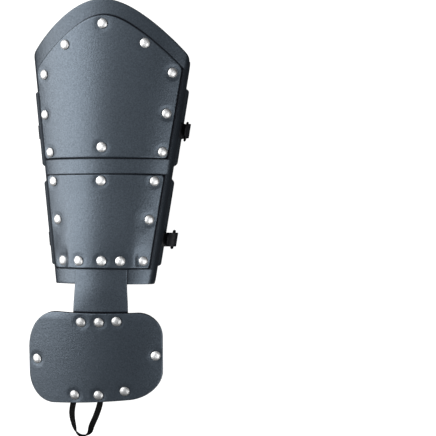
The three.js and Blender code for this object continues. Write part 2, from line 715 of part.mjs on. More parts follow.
add('base_shell', cut(baseShell(), armHoles), LEATHER);
add('upper_plate', cut(upperPlate(), armHoles.slice(0, upperCount)), LEATHER);
add('lower_plate', cut(lowerPlate(), armHoles.slice(upperCount)), LEATHER);
add('wrist_tongue', cut(wristTongue(), tongueHoles), LEATHER);
add('hand_plate', cut(handPlate(), handHoles), LEATHER);
for (const size of WINGS) {
  for (const side of ['left', 'right']) {
    add(`${size.name}_${side}`, cut(wing(size, side), armHoles), LEATHER);
  }
}
for (const strap of STRAPS) {
  add(`${strap.name}_billet_strap`, billetStrap(strap), WEBBING);
  add(`${strap.name}_buckle_strap`, buckleStrap(strap), WEBBING);
  add(`${strap.name}_buckle`, buckle(strap), BLACK_METAL);
  add(`${strap.name}_prong`, prong(strap, PRONG.radius), BLACK_METAL);
}
add('finger_loop', cut(fingerLoop(), handHoles), WEBBING);
add('palm_strap', cut(palmStrap(), handHoles), WEBBING);
for (const rivet of [...armRivets, ...plateRivets]) {
  add(rivet.name, rivetShape(rivet.depth).applyMatrix4(rivet.frame), NICKEL);
}

// The origin is under the middle of the object, on the surface that it lies on
const bounds = new THREE.Box3().setFromObject(bracer);
const middle = bounds.getCenter(new THREE.Vector3());
bracer.position.set(-middle.x, -middle.y, -bounds.min.z);

export default bracer;
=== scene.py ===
"""Looks of a black leather bracer that lies on its back, plates up.

Lengths are millimetres until a mesh is made. X runs across the arm, Y from the hand to the
elbow and Z up. Offsets are measured off the base's outer face.
"""
import math
from functools import partialmethod

import bpy
import numpy as np
from mathutils import Matrix, Vector


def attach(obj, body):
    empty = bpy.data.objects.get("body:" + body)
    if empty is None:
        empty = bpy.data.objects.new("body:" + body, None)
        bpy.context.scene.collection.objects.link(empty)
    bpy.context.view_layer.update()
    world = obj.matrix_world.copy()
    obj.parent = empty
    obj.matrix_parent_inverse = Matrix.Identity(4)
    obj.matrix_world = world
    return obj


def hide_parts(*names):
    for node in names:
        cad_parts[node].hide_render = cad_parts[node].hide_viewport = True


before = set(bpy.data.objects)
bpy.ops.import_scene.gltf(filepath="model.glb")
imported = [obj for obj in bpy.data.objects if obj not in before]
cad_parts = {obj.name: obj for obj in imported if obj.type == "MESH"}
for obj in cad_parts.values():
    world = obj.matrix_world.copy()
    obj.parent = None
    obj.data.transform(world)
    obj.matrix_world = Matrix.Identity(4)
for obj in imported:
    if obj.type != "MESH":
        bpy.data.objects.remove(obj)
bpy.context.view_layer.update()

# Forearm, as in the solid model
FOREARM_LENGTH = 205
BASE_START = -1.2
HEIGHT = (60, 78)
PLATE_HALF_WIDTH = (44, 73.5)
SKEW = 0.04
# Lengths at the wrist and at the elbow, and the turn in degrees, for each bend of a half section
SECTION = {
    -1: [(45.5, 75, 37), (10, 10, 46), (10, 10, 2), (None, None, 8), (24, 28, 87)],
    1: [(45.5, 75, 37), (10, 8.2, 55), (10, 10, 4), (None, None, 12), (20, 25, 72)],
}
# About the length of each of the two bends at the side
SIDE_LENGTH = 10
FLANK = 3
HEEL = 4
BACK = 5

# Leather
GAP = 0.3
BASE_THICK = 2.6
PLATE_THICK = 2.6
TONGUE_THICK = 2.4
WING_THICK = 2.2
HAND_THICK = 3
STRAP_THICK = 1.6
WEBBING_THICK = 1.4
# How far the cut edges are rounded
EDGES = {"leather": 0.65, "plate": 1.1, "wing": 0.55, "strap": 0.4, "hand": 0.75, "band": 0.35}

BASE_ARCH = {"apex": 257.4, "middle": -3, "slope": 0.995, "round": 45}
PLATE_ARCH = {"apex": 242.6, "middle": -0.5, "slope": 0.9, "round": 28}
# A column's length across depends on where it meets the arch, so its end is found in rounds
ARCH_ROUNDS = 14
BASE_SIDE_TOP = 204
BASE_CORNER = 5
PLATE_CORNER = {"reach": 3, "half_width": 60}
UPPER_PLATE_START = 114.3
LOWER_PLATE = (13.4, 99.4)

# Wings; past the straight stretch all rows of a wing turn together
WING_ROOT = 20
WING_FLARE = {-1: 9.5, 1: 5}
WING_FLARE_LENGTH = 8
WING_ONTO_BACK = 8
WING_CORNER = 8
WING_CUT_PART = 0.25
WING_STRAIGHT = 14
WINGS = {
    "upper_wing": {"root": (109, 181.5), "edge": (106, 182.5), "cut": 6, "end": (116, 152)},
    "lower_wing": {"root": (13, 87), "edge": (13.5, 100.5), "cut": 3, "end": (21, 56)},
}
SIDES = {"left": -1, "right": 1}
# Pieces are named after the nodes they stand for, apart from these
PIECE_NAMES = {"base_shell": "dressed_base", "wrist_tongue": "dressed_tongue"}

STRAPS = {
    "upper": {"at": 141.5, "tip": 0, "slack": 0},
    "lower": {"at": 40, "tip": -2, "slack": 4.5},
}
STRAP_WIDTH = 13
STRAP_TIP = {"length": 7, "inset": STRAP_WIDTH / 3}
SLACK_FADE = (24, 36)
FLARE_STOPS = (1.5, 4, 6.5, 8, 11, 14)
HEEL_STEPS = 6
BUCKLE = {
    "at": 17, "length": 17, "width": 18.4, "bar": 2.4, "thick": 2, "corner": 3.6, "strap_height": 3.5,
}
# The strap climbs over the heel bar and falls onto the buckle strap: distances along the strap
CLIMB = {"start": 6, "step": 1.5, "low": 3.2, "high": 3, "bar_edge": 0.5, "over_bar": 0.4}
FALL = {"start": 1, "stop": 3, "length": 6}
PRONG = {"radius": 0.8, "clearance": 0.45, "rise": 0.4, "dip": 0.5, "short": 0.2}
STRAP_HOLE = {"radius": 1.2, "sides": 16}
STRAP_HOLES = (30, 40, 50)

# Stitches: distances along the strap, and places across it from 0 to 1
STITCH = {"first": 1.6, "last": 15.5, "pitch": 2.3, "length": 1.6, "rows": (0.14, 0.86)}
CROSS_STITCH = {"first": 0.2, "last": 0.72, "pitch": 0.16, "length": 0.12}
THREAD = {"radius": 0.28, "above": 0.05, "rise": 0.22, "outward": 0.9}

# Rivets: name, distance from the wrist end, signed distances across
FOREARM_RIVETS = [
    ("upper_rivet_a", 234.8, (-0.5,)),
    ("upper_rivet_b", 217.4, (-37, 37.5)),
    ("upper_rivet_c", 191.8, (-61.5, 63)),
    ("upper_rivet_d", 155, (-60.5, 58.5)),
    ("upper_rivet_e", 120.2, (-53.3, 55.8)),
    ("upper_rivet_f", 123.9, (1,)),
    ("lower_rivet_a", 93.5, (-49, 1, 49)),
    ("lower_rivet_b", 58.3, (-43, 45)),
    ("lower_rivet_c", 20.4, (-36, -17.3, 3.6, 19.7, 40.3)),
]
# End of the name, part of the way down the hand plate, distance across, and what it holds
HAND_RIVETS = [
    ("top_1", 0.1, -15, "tongue"),
    ("top_2", 0.098, 1.8, "tongue"),
    ("top_3", 0.087, 17.8, "tongue"),
    ("side_left", 0.526, -60.5, "webbing"),
    ("side_right", 0.506, 52.5, "webbing"),
    ("low_1", 0.908, -22.1, "webbing"),
    ("low_2", 0.919, 0.6, "webbing"),
    ("low_3", 0.89, 24.6, "nothing"),
]
CAP = {"radius": 4.5, "sunk": 0.35}
# How far the cap's rim is drawn in, at each height above its lowest edge
CAP_RIM = [(0.25, 0), (0.05, 0.1), (0, 0.3), (0.08, 0.5)]
CAP_DOME = {"inset": 0.12, "start": 0.55, "height": 1.75, "power": 2.8}
BACK_CAP = {"radius": 3.8, "height": 1, "rim": 0.25}
POST_RADIUS = 1.5
# The leather is drawn down around a cap, and half as far at its inner face
DIMPLE = {"depth": 0.45, "inner": 4.2, "outer": 8.5, "inside": 0.5}

TONGUE = {"middle": 1.9, "half": 24.4, "half_low": 25.7, "under_plate": 28, "end": 44}
TONGUE_LIFT = {"across": (28.5, 34), "along": (35, 60)}
SOFT_LIFT = {"across": (25, 52), "along": (32, 90), "held": (4.5, 16), "hold": 0.55}
HAND_SLOPE = {"start": 5, "end": 12, "bend": 15}
HAND_ROUND = {"radius": 185, "reached": 35}
HAND_PLATE = {"middle": -5.4, "half": 64.4, "top": 27.3, "bottom": 112.8, "slant": -0.075}
# How far each rounded corner reaches across and down
HAND_CORNERS = {
    "top_left": (31, 36),
    "top_right": (23, 25),
    "bottom_left": (27, 28),
    "bottom_right": (30, 26),
}
HAND_INNER = GAP + TONGUE_THICK + GAP

LOOP_WIDTH = 5.6
# Distance down, distance across and twist in degrees
LOOP_ROUTE = [
    (100, -20, 0),
    (112, -24.3, 0),
    (126, -26.8, 0),
    (138, -25, 25),
    (145, -22.2, 65),
    (148, -16.2, 90),
    (144.6, -9.9, 65),
    (137, -7.3, 25),
    (126, -2.6, 0),
    (114, 1, 0),
    (99, 1.8, 0),
]
PALM_STRAP = {"down": 0.52, "width": 20, "sag": 12, "sag_part": 0.3, "flat_part": 0.1, "past_rivet": 6}

# From the form's own millimetres to the solid model's frame
SHIFT = np.array([2.932, -55.096, 4.0])

# Camera: what it looks at in the form's own millimetres, its tilt toward the right and its roll
CAMERA_TARGET = (109.1, 64.5, 62)
CAMERA_DISTANCE = 1200
CAMERA_TILT = 10.66
CAMERA_ROLL = 2.58
CAMERA_LENS = 110.1

# Studio, in metres: each light's place, its size and its radiance
LIGHTS = {
    "left_box": ((-1.04, 0.24, 0.83), (1.8, 1.46), 10.2),
    "right_box": ((0.85, -0.42, 0.5), (0.7, 0.5), 11),
    "top_box": ((0.2, 0.4, 1.8), (1.8, 1.4), 1.3),
}
LIGHT_TARGET = (0, 0.03, 0.05)
FLOOR_HALF = 20.0

# Leathers: two close tones, the range of roughness, the tint of the sheen and its strength
LEATHER = ((0.0035, 0.0045, 0.006), (0.005, 0.0065, 0.0085)), (0.37, 0.46), (0.7, 0.84, 1), 0.52
WING_LEATHER = ((0.004, 0.005, 0.006), (0.006, 0.007, 0.009)), (0.5, 0.62), (0.7, 0.84, 1), 0.17
STRAP_LEATHER = ((0.002, 0.002, 0.003), (0.004, 0.004, 0.005)), (0.5, 0.65), (1, 1, 1), 0.12
CUT_SHINE = 0.12
INSIDE_SHINE = 0.35
# Painted shade: beside an edge on top the leather is dark up to the first distance and clear from the
# second
PAINTED_EDGE_SHADE = {"color": (0.002, 0.002, 0.003), "fade": (0.2, 1.7)}
# Painted shade reaches four times as far on the base's sides, a little farther on the strip past the upper
# plate
SIDE_PAINTED_SHADE = 0.25
ARCH_PAINTED_SHADE = 0.8
# Toward the elbow the base's sheen is turned down: painted shade where the rim flares away from the light
RIM_SHEEN_SHADE = {"fade": (196, 206), "shine": 0.76}


# Form
def mix(start, end, part):
    return start + (end - start) * part


def smooth(part):
    p = np.clip(part, 0, 1)
    return p * p * (3 - 2 * p)


def fade(distance, full, none):
    """1 up to the full distance and 0 from the other one on."""
    return 1 - smooth((distance - full) / (none - full))


def steps(count, start=0, end=1):
    return np.linspace(start, end, count + 1)


def from_wrist(sizes, v):
    return mix(sizes[0], sizes[1], v / FOREARM_LENGTH)


def corner_inset(distance, reach, inset):
    """How far a rounded corner draws an edge in, at a distance from the corner's end."""
    rest = np.clip(1 - distance / reach, 0, 1)
    return inset * (1 - np.sqrt(1 - rest * rest))


def arc_step(length, angle, turn):
    """How far an arc advances and drops."""
    chord = length * np.sinc(turn / (2 * np.pi))
    return chord * np.cos(angle + turn / 2), chord * np.sin(angle + turn / 2)


def section_arcs(side, v):
    """The arcs of a half section as (length, start angle, turn), the flat back last."""
    arcs = []
    angle = 0.0
    taken = 0
    for wrist, elbow, degrees in SECTION[side]:
        turn = math.radians(degrees)
        length = from_wrist((wrist or 0, elbow or 0), v)
        arcs.append([length, angle, turn])
        taken = taken + arc_step(length, angle, turn)[1]
        angle += turn
    flank = arcs[FLANK]
    flank[0] = (from_wrist(HEIGHT, v) - taken) / arc_step(1, flank[1], flank[2])[1]
    reach = sum(arc_step(*arc)[0] for arc in arcs)
    return [*arcs, [reach, angle, 0.0]]


def arm_point(side, station, v, offset):
    """Points of the forearm: station counts the arcs passed from the crown."""
    station, v, offset = np.broadcast_arrays(station, v, offset)
    x = 0
    z = from_wrist(HEIGHT, v)
    normal = 0
    for index, (length, angle, turn) in enumerate(section_arcs(side, v)):
        part = np.clip(station - index, 0, 1)
        ahead, down = arc_step(length * part, angle, turn * part)
        x = x + ahead
        z = z - down
        normal = normal + turn * part
    x = side * (x + offset * np.sin(normal))
    z = z + offset * np.cos(normal)
    return np.stack([x, v + SKEW * x, z], axis=-1)


def length_to(side, v, station):
    """The length along a half section from the crown to a station."""
    arcs = section_arcs(side, v)
    return sum(np.clip(station - i, 0, 1) * arc[0] for i, arc in enumerate(arcs))


def station_at(side, v, length):
    """The station that lies a length along the section from the crown."""
    station = 0
    for arc_length, _, _ in section_arcs(side, v):
        station = station + np.clip(length / arc_length, 0, 1)
        length = length - arc_length
    return station


def station_past_edge(side, v, distance):
    """The station that lies a distance past the base's edge, toward the back."""
    return station_at(side, v, length_to(side, v, FLANK) + distance)


def across_point(across, v, offset):
    """Points of the forearm by their signed length across from the crown."""
    across, v, offset = np.broadcast_arrays(across, v, offset)
    length = np.abs(across)
    left = arm_point(-1, station_at(-1, v, length), v, offset)
    right = arm_point(1, station_at(1, v, length), v, offset)
    return np.where((across < 0)[..., None], left, right)


def arch(size, across):
    return size["apex"] - size["slope"] * (np.hypot(across - size["middle"], size["round"]) - size["round"])


def hand_slope(down):
    part = np.clip(down / HAND_SLOPE["bend"], 0, 1)
    return np.radians(mix(HAND_SLOPE["start"], HAND_SLOPE["end"], part))


def hand_point(down, across, offset):
    """Points of the tongue and the hand plate: down counts from the base's wrist end."""
    down, across, offset = np.broadcast_arrays(down, across, offset)
    below = np.maximum(down, 0)
    parts = 24
    y = 0
    z = HEIGHT[0]
    for i in range(parts):
        slope = hand_slope((i + 0.5) * below / parts)
        y = y - np.cos(slope) * below / parts
        z = z - np.sin(slope) * below / parts
    curved = math.radians(SECTION[1][0][2]) / SECTION[1][0][0]
    radius = 1 / mix(curved, 1 / HAND_ROUND["radius"], smooth(below / HAND_ROUND["reached"]))
    angle = across / radius
    rise = offset * np.cos(angle) - radius * (1 - np.cos(angle))
    slope = hand_slope(below)
    x = (radius + offset) * np.sin(angle)
    hand = np.stack([x, y + SKEW * x - rise * np.sin(slope), z + rise * np.cos(slope)], axis=-1)
    arm = across_point(across, np.maximum(-down, 0), offset)
    return np.where((down <= 0)[..., None], arm, hand)


def hand_plate_down(part, across):
    """The hand plate's lower edge is slanted, so its places are parts of the way down."""
    return mix(HAND_PLATE["top"], HAND_PLATE["bottom"] + HAND_PLATE["slant"] * across, part)


def bulge(across, v, reach):
    sideways = fade(np.abs(across - TONGUE["middle"]), *reach["across"])
    return (TONGUE_THICK + GAP) * sideways * fade(v, *reach["along"])


def tongue_lift(across, v):
    """How far the solid lower plate bulges over the tongue's end."""
    return bulge(across, v, TONGUE_LIFT)


def soft_tongue_lift(across, v):
    """The same bulge as leather makes it: wider, and held down by the rivets beside it."""
    hold = 0
    for rivet_across, rivet_v in rivet_places("lower"):
        distance = np.hypot(across - rivet_across, v - rivet_v)
        hold = np.maximum(hold, fade(distance, *SOFT_LIFT["held"]))
    return mix(bulge(across, v, SOFT_LIFT), tongue_lift(across, v), hold * SOFT_LIFT["hold"])


def wing_outer(side, v, station):
    """A wing's outer face springs out at the base's edge, and both sides are level at the back."""
    distance = length_to(side, v, station) - length_to(side, v, FLANK)
    flare = mix(WING_FLARE[side], WING_FLARE[1], smooth(station - HEEL))
    return flare * smooth(distance / WING_FLARE_LENGTH) - BASE_THICK - GAP


def slack_at(strap, distance):
    """How far the slack of a strap lifts it off the right wing."""
    return strap["slack"] * fade(distance, *SLACK_FADE) * smooth(distance / WING_FLARE_LENGTH)


def frame_at(place):
    """The frame of a surface at a place: X across, Y toward the elbow, Z out of the leather."""
    step = 0.5
    across = Vector(place(step, 0.0) - place(-step, 0.0)).normalized()
    along = Vector(place(0.0, step) - place(0.0, -step)).normalized()
    out = across.cross(along).normalized()
    up = out.cross(across)
    matrix = Matrix((across, up, out)).transposed().to_4x4()
    matrix.translation = Vector(place(0.0, 0.0))
    return matrix


# Rivet places, shared by the rivets and by the dimples around them
def rivet_places(start):
    rows = [row for row in FOREARM_RIVETS if row[0].startswith(start)]
    return [(across, v) for _, v, places in rows for across in places]


def wing_under(across, v):
    crown = from_wrist(SECTION[1][0][:2], v)
    roots = [size["root"] for size in WINGS.values()]
    return abs(across) > crown - WING_ROOT and any(low < v < high for low, high in roots)


def forearm_rivets():
    rivets = []
    for row, v, places in FOREARM_RIVETS:
        for index, across in enumerate(places):
            lift = float(tongue_lift(across, v)) if row.startswith("lower") else 0
            outer = GAP + lift + PLATE_THICK
            inner = -BASE_THICK - GAP - WING_THICK if wing_under(across, v) else -BASE_THICK
            seat = frame_at(lambda x, y: across_point(across + x, v + y, outer))
            rivets.append({"name": f"{row}_{index + 1}", "frame": seat, "depth": outer - inner})
    return rivets


def hand_rivets():
    layers = {"tongue": GAP + TONGUE_THICK, "webbing": GAP + WEBBING_THICK, "nothing": 0}
    rivets = []
    for spot, part, across, under in HAND_RIVETS:
        at = hand_plate_down(part, across)
        seat = frame_at(lambda x, y: hand_point(at - y, across + x, HAND_INNER + HAND_THICK))
        rivets.append({"name": f"hand_rivet_{spot}", "frame": seat, "depth": HAND_THICK + layers[under]})
    return rivets


def relief(across, v, places, deep):
    """How far caps at some places draw the leather down, deep going from 0 outside to 1 inside."""
    total = 0
    for rivet_across, rivet_v in places:
        distance = np.hypot(across - rivet_across, v - rivet_v)
        total = total - DIMPLE["depth"] * fade(distance, DIMPLE["inner"], DIMPLE["outer"])
    return total * (1 - deep * DIMPLE["inside"])


# Mesh building
def add_object(name, data):
    obj = bpy.data.objects.new(name, data)
    bpy.context.scene.collection.objects.link(obj)
    return obj


def new_object(name, points, faces, uvs=None):
    """A mesh object in the solid model's frame, from points in the form's own millimetres."""
    mesh = bpy.data.meshes.new(name)
    metres = (np.asarray(points) + SHIFT) * 0.001
    mesh.from_pydata([tuple(p) for p in metres], [], faces)
    if uvs is not None:
        layer = mesh.uv_layers.new(name="flat")
        loops = np.empty(len(mesh.loops), dtype=np.int32)
        mesh.loops.foreach_get("vertex_index", loops)
        layer.data.foreach_set("uv", np.asarray(uvs)[loops].astype(np.float32).ravel())
    mesh.polygons.foreach_set("use_smooth", [True] * len(mesh.polygons))
    mesh.update()
    return add_object(name, mesh)


def dressed(node, points, faces, uvs=None):
    """A piece that moves with the part's body and stands for a node."""
    obj = new_object(PIECE_NAMES.get(node, f"dressed_{node}"), points, faces, uvs)
    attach(obj, "root")
    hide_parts(node)
    return obj


def rim(columns, rows):
    """The grid's border as (column, row), anticlockwise seen from outside."""
    bottom = [(c, 0) for c in range(columns)]
    right = [(columns, r) for r in range(rows)]
    top = [(c, rows) for c in range(columns, 0, -1)]
    left = [(0, r) for r in range(rows, 0, -1)]
    return bottom + right + top + left


def panel(node, a, b, place, thick, edge):
    """A sheet with rounded cut edges, in the place of a node.

    a and b are the grid's columns and rows from 0 to 1. place gives points and flat sizes for
    (a, b, inset, depth), where inset draws the outline in and depth goes down from the outer face.
    """
    columns, rows = len(a) - 1, len(b) - 1
    grid_a, grid_b = np.meshgrid(a, b)
    border = rim(columns, rows)
    border_a = np.array([a[c] for c, _ in border])
    border_b = np.array([b[r] for _, r in border])
    points = []
    flats = []
    for depth in (0.0, thick):
        outer, flat = place(grid_a, grid_b, edge, depth)
        points.append(outer.reshape(-1, 3))
        flats.append(flat.reshape(-1, 2))
    side = [(edge * (1 - math.sin(t)), edge * (1 - math.cos(t))) for t in np.radians((30, 60, 90))]
    under = [(inset, thick - depth) for inset, depth in reversed(side)]
    for inset, depth in side + under:
        loop, flat = place(border_a, border_b, inset, depth)
        points.append(loop)
        flats.append(flat)
    width = columns + 1
    count = width * (rows + 1)
    faces = []
    for r in range(rows):
        for c in range(columns):
            k = r * width + c
            faces.append((k, k + 1, k + width + 1, k + width))
            faces.append((count + k, count + k + width, count + k + width + 1, count + k + 1))
    loops = [[r * width + c for c, r in border]]
    for i in range(len(side + under)):
        start = 2 * count + i * len(border)
        loops.append(list(range(start, start + len(border))))
    loops.append([count + r * width + c for c, r in border])
    for high, low in zip(loops, loops[1:]):
        for i in range(len(border)):
            j = (i + 1) % len(border)
            faces.append((high[j], high[i], low[i], low[j]))
    obj = dressed(node, np.concatenate(points), faces, np.concatenate(flats))
    marks = {"cut": slice(2 * count + len(border), None), "inside": slice(count, 2 * count)}
    for mark, where in marks.items():
        values = np.zeros(len(obj.data.vertices), dtype=np.float32)
        values[where] = 1
        obj.data.attributes.new(mark, "FLOAT", "POINT").data.foreach_set("value", values)
    return obj


def crowded(count):
    """Steps from 0 to 1 that crowd toward both ends."""
    return (1 - np.cos(np.pi * steps(count))) / 2


def both_ways(half):
    """Steps from the middle outward, repeated to the other side."""
    return np.concatenate([-half[:0:-1], half])


def stacked(across, along):
    return np.stack(np.broadcast_arrays(across, along), axis=-1)


def ring(radius, height, around):
    """Points round the Z axis at a height."""
    turns = [2 * math.pi * k / around for k in range(around)]
    return [Vector((radius * math.cos(t), radius * math.sin(t), height)) for t in turns]


def through(knots, values, at):
    """A smooth curve through values at the knots, one row of values to a knot."""
    slopes = np.gradient(values, knots, axis=0)
    index = np.clip(np.searchsorted(knots, at, side="right") - 1, 0, len(knots) - 2)
    span = (knots[index + 1] - knots[index])[:, None]
    t = ((at - knots[index])[:, None]) / span
    start, end = values[index], values[index + 1]
    rise = slopes[index] * span * (t**3 - 2 * t**2 + t) + slopes[index + 1] * span * (t**3 - t**2)
    return start * (2 * t**3 - 3 * t**2 + 1) + end * (3 * t**2 - 2 * t**3) + rise


def between(at, knots, rows):
    """The rows of values at the knots, read straight between them."""
    return np.stack([np.interp(at, knots, column) for column in rows.T], axis=-1)


def lengths_along(points):
    """The length along a row of points up to each of them."""
    return np.concatenate([[0], np.cumsum(np.linalg.norm(np.diff(points, axis=0), axis=1))])


def tube(path, radii, around, closed):
    """Points and faces of a tube along a path, with an oval section of radii (side, height)."""
    path = [Vector(p) for p in path]
    count = len(path)
    points = []
    for i, point in enumerate(path):
        before = path[i - 1] if i or closed else point
        after = path[(i + 1) % count] if i < count - 1 or closed else point
        tangent = (after - before).normalized()
        side = tangent.cross(Vector((0, 0, 1))).normalized()
        up = side.cross(tangent)
        for k in range(around):
            turn = 2 * math.pi * k / around
            points.append(point + side * radii[0] * math.cos(turn) + up * radii[1] * math.sin(turn))
    faces = []
    for i in range(count if closed else count - 1):
        j = (i + 1) % count
        for k in range(around):
            m = (k + 1) % around
            faces.append((i * around + k, j * around + k, j * around + m, i * around + m))
    if not closed:
        faces.append(tuple(range(around - 1, -1, -1)))
        faces.append(tuple(range(len(points) - around, len(points))))
    return points, faces


def punch(obj, shapes):
    """Cut shapes, each points and faces, out of a piece."""
    cutters = [new_object("cutter", points, faces) for points, faces in shapes]
    for cutter in cutters:
        modifier = obj.modifiers.new("hole", "BOOLEAN")
        modifier.operation = "DIFFERENCE"
        modifier.solver = "EXACT"
        modifier.object = cutter
    scene_state = bpy.context.evaluated_depsgraph_get()
    obj.data = bpy.data.meshes.new_from_object(obj.evaluated_get(scene_state))
    obj.modifiers.clear()
    for cutter in cutters:
        bpy.data.objects.remove(cutter)


# Forearm leather
def base_shell():
    stations = both_ways(np.concatenate([steps(34), steps(18, 1, FLANK)[1:]]))

    def place(a, b, inset, depth):
        points = []
        flats = []
        out = np.abs(mix(-FLANK, FLANK, a))
        for side in SIDES.values():
            station = out * (1 - inset / (FLANK * SIDE_LENGTH))
            top = BASE_SIDE_TOP
            for _ in range(ARCH_ROUNDS):
                across = side * length_to(side, top, station)
                top = np.maximum(arch(BASE_ARCH, across), BASE_SIDE_TOP)
            corner = corner_inset((FLANK - out) * SIDE_LENGTH, BASE_CORNER, BASE_CORNER) + inset
            v = mix(BASE_START + corner, top - corner, b)
            points.append(arm_point(side, station, v, -depth))
            flats.append(stacked(side * length_to(side, v, station), v))
        left = (a < 0.5)[..., None]
        return np.where(left, *points), np.where(left, *flats)

    a, b = (stations + FLANK) / (2 * FLANK), steps(120)
    return panel("base_shell", a, b, place, BASE_THICK, EDGES["leather"])


def plate(name, start, end_at, lift):
    """A plate on the base: lift says how far it stands off the base at a place."""
    places = rivet_places(name)
    crowded_from = 0.88
    half = np.concatenate([steps(40, 0, crowded_from), steps(16, crowded_from, 1)[1:]])

    def place(a, b, inset, depth):
        part = mix(-1, 1, a)
        end = FOREARM_LENGTH
        for _ in range(ARCH_ROUNDS):
            end = end_at(part * from_wrist(PLATE_HALF_WIDTH, end))
        from_edge = (1 - np.abs(part)) * PLATE_CORNER["half_width"]
        corner = corner_inset(from_edge, PLATE_CORNER["reach"], PLATE_CORNER["reach"]) + inset
        v = mix(start + corner, end - corner, b)
        across = part * (from_wrist(PLATE_HALF_WIDTH, v) - inset)
        top = GAP + lift(across, v) + PLATE_THICK - depth
        drawn = relief(across, v, places, depth / PLATE_THICK)
        return across_point(across, v, top + drawn), stacked(across, v)

    a, b = (both_ways(half) + 1) / 2, steps(84)
    return panel(f"{name}_plate", a, b, place, PLATE_THICK, EDGES["plate"])


def upper_plate():
    return plate("upper", UPPER_PLATE_START, lambda across: arch(PLATE_ARCH, across), lambda across, v: 0)


def lower_plate():
    return plate("lower", LOWER_PLATE[0], lambda across: LOWER_PLATE[1], soft_tongue_lift)


def wing(name, side_name):
    size = WINGS[name]
    side = SIDES[side_name]
    middle = sum(size["edge"]) / 2
    arcs = section_arcs(side, middle)
    root = WING_ROOT + arcs[1][0] + arcs[2][0]
    flank = arcs[FLANK][0]
    reach = flank + arcs[HEEL][0] + WING_ONTO_BACK

    def place(a, b, inset, depth):
        distance = mix(-root + inset, reach - inset, a)
        out = np.clip(distance / reach, 0, 1)
        inward = np.clip(-distance / root, 0, 1)
        corner = corner_inset(reach - inset - distance, WING_CORNER, WING_CORNER)
        cut = size["cut"] * smooth(out / WING_CUT_PART)
        low = mix(mix(size["edge"][0], size["root"][0], inward) + cut, size["end"][0], out)
        high = mix(mix(size["edge"][1], size["root"][1], inward), size["end"][1], out)
        v = mix(low + corner + inset, high - corner - inset, b)
        local = station_past_edge(side, v, distance)
        shared = station_past_edge(side, middle, distance)
        together = np.clip((distance - WING_STRAIGHT) / (flank - WING_STRAIGHT), 0, 1)
        station = mix(local, shared, together)
        points = arm_point(side, station, v, wing_outer(side, v, station) - depth)
        return points, stacked(side * distance, v)

    a, b = steps(90)[::side], steps(50)
    return panel(f"{name}_{side_name}", a, b, place, WING_THICK, EDGES["wing"])


# Straps at the open back
def stop_at(strap, distance, offset):
    """A strap's row (side, station, offset) on the right, a distance past the base's edge."""
    return 1, station_past_edge(1, strap["at"], distance), offset + slack_at(strap, distance)


def billet_stops(strap):
    """Rows of (side, station, offset) from the left flank over the back to the tip on the right."""
    v = strap["at"]
    on_wing = wing_outer(1, v, HEEL) + GAP
    over_bar = on_wing + STRAP_THICK + 2 * GAP + BUCKLE["thick"] + CLIMB["over_bar"]
    over_strap = on_wing + STRAP_THICK + GAP
    heel_bar = BUCKLE["at"] - BUCKLE["length"] / 2
    rise_start = BUCKLE["at"] + CLIMB["start"]
    stops = []
    left = [station_past_edge(-1, v, distance) for distance in FLARE_STOPS[-2:]]
    for station in [*left, *steps(HEEL_STEPS, HEEL, BACK)]:
        stops.append((-1, station, wing_outer(-1, v, station) + GAP))
    for station in steps(HEEL_STEPS, BACK, HEEL):
        distance = length_to(1, v, station) - length_to(1, v, FLANK)
        if distance > rise_start:
            stops.append((1, station, on_wing + slack_at(strap, distance)))
    climbing = steps(4, rise_start - CLIMB["step"], heel_bar + CLIMB["low"])
    for distance in [rise_start, *climbing, heel_bar - CLIMB["bar_edge"]]:
        rise = smooth((rise_start - distance) / (rise_start - heel_bar - CLIMB["high"]))
        stops.append(stop_at(strap, distance, mix(on_wing, over_bar, rise)))
    for distance in steps(3, heel_bar - FALL["stop"], strap["tip"]):
        fall = smooth((heel_bar - FALL["start"] - distance) / FALL["length"])
        stops.append(stop_at(strap, distance, mix(over_bar, over_strap, fall)))
    return stops


def strap_place(strap, stops, round_tip):
    """The place function of a strap: a runs from the first stop to the last, b across it."""
    def row(width_at, depth):
        return np.array([
            arm_point(side, station, strap["at"] + width_at, offset + STRAP_THICK - depth)
            for side, station, offset in stops
        ])

    knots = lengths_along(row(0.0, 0.0))
    length = knots[-1]

    def place(a, b, inset, depth):
        shape = np.shape(a)
        along = np.clip(np.ravel(mix(inset, length - inset, a)), 0, length)
        gone = length - inset - along
        narrow = corner_inset(gone, STRAP_TIP["length"], STRAP_TIP["inset"]) if round_tip else 0 * gone
        half = STRAP_WIDTH / 2 - narrow - inset
        across = mix(-1, 1, np.ravel(b)) * half
        low = through(knots, row(-STRAP_WIDTH / 2, depth), along)
        high = through(knots, row(STRAP_WIDTH / 2, depth), along)
        part = (across / STRAP_WIDTH + 0.5)[:, None]
        flat = np.stack([along, across], axis=-1)
        points = mix(low, high, part)
        points[:, 2] = np.maximum(points[:, 2], depth - SHIFT[2])
        return points.reshape(*shape, 3), flat.reshape(*shape, 2)

    return place, length


def wing_frame(strap, past, height):
    """A frame over the right wing, past the base's edge: X toward the back, Y toward the elbow."""
    def place(x, y):
        v = strap["at"] + y
        return arm_point(1, station_past_edge(1, v, past + x), v, wing_outer(1, v, HEEL) + height)

    return frame_at(place)


def strap_hole(strap, past):
    """Points and faces of a round peg through a billet strap, past the base's edge."""
    matrix = wing_frame(strap, past, GAP)
    sides = STRAP_HOLE["sides"]
    points = []
    for height in (-2 * STRAP_THICK, 2 * STRAP_THICK):
        points += [matrix @ p for p in ring(STRAP_HOLE["radius"], height, sides)]
    faces = [(k, (k + 1) % sides, sides + (k + 1) % sides, sides + k) for k in range(sides)]
    faces += [tuple(range(sides - 1, -1, -1)), tuple(range(sides, 2 * sides))]
    return points, faces


